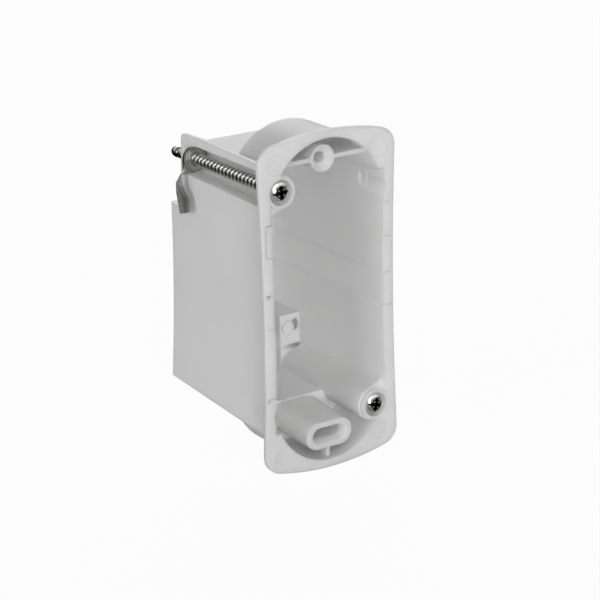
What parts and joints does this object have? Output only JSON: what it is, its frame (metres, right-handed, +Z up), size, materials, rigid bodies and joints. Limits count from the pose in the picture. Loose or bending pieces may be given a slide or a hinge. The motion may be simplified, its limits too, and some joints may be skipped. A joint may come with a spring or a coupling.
{
  "type": "flush mounting box",
  "caption": "Deep hollow-wall mounting box for a narrow wiring device, with a waisted flange, screw bosses and folding claws on long screws.",
  "frame": {"origin": "centre of the flange's back face, the face that seats on the wall board", "axes": "+X right and +Z up as seen from the room, +Y into the wall"},
  "size_m": [0.046, 0.0587, 0.1014],
  "materials": {
    "box_plastic": "satin",
    "screw_zinc": "bright zinc",
    "claw_steel": "satin"
  },
  "bodies": {
    "box": {"mounting_box": "box_plastic"},
    "screw_tl": {"screw_top_left": "screw_zinc"},
    "screw_br": {"screw_bottom_right": "screw_zinc"},
    "claw_tl": {"claw_top_left": "claw_steel"},
    "claw_br": {"claw_bottom_right": "claw_steel"}
  },
  "joints": [
    {"name": "claw_swing_tl", "type": "hinge", "parent": "box", "child": "screw_tl", "pos_m": [-0.0156, 0, 0.0352], "axis": [0, 1, 0], "range_deg": [0, 75]},
    {"name": "claw_travel_tl", "type": "slide", "parent": "screw_tl", "child": "claw_tl", "axis": [0, -1, 0], "range_m": [0, 0.033]},
    {"name": "claw_swing_br", "type": "hinge", "parent": "box", "child": "screw_br", "pos_m": [0.0156, 0, -0.0352], "axis": [0, 1, 0], "range_deg": [0, 75]},
    {"name": "claw_travel_br", "type": "slide", "parent": "screw_br", "child": "claw_br", "axis": [0, -1, 0], "range_m": [0, 0.033]}
  ]
}
